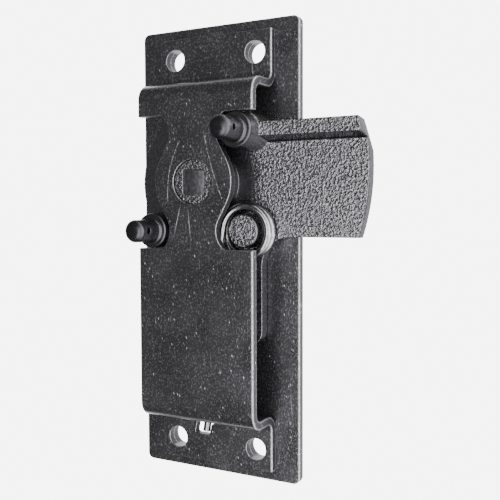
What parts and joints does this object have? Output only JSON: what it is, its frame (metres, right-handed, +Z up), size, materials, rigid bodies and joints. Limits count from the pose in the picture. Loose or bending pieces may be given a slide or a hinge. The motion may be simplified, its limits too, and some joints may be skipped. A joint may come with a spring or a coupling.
{
  "type": "three-point latch",
  "caption": "Surface-mounted rotary door latch: a cast bolt turns between back plate and bent strap, with studs for the upper and lower rods and an over-centre spring",
  "frame": {"origin": "on the hub axis, at the plane of the back plate's rear face", "axes": "+Y towards the door panel that the plate is screwed to, +X the way the bolt's tongue points at rest, +Z up along the plate"},
  "size_m": [0.1, 0.0343, 0.178],
  "materials": {
    "plate_steel": "dark plated steel sheet, satin, with bright worn edges",
    "strap_steel": "dark plated steel strip, satin, with fine scratches and bright sheared edges",
    "cast_bolt": "plated malleable casting with a fine pebbled skin",
    "spring_wire": "bright drawn spring wire"
  },
  "bodies": {
    "case": {"back_plate": "plate_steel", "cover_strap": "strap_steel"},
    "bolt": {"bolt_casting": "cast_bolt"},
    "spring": {"over_centre_spring": "spring_wire"}
  },
  "joints": [
    {"name": "bolt_turn", "type": "hinge", "parent": "case", "child": "bolt", "pos_m": [0, 0, 0], "axis": [0, 1, 0], "range_deg": [0, 90]},
    {"name": "spring_swing", "type": "hinge", "parent": "bolt", "child": "spring", "pos_m": [0.01853, -0.0121, -0.01853], "axis": [0, 1, 0], "range_deg": [-115.6, 0], "deforming": ["over_centre_spring"]}
  ],
  "couplings": [
    {"joint": "spring_swing", "follows": "bolt_turn", "ratio": -1.2842}
  ]
}
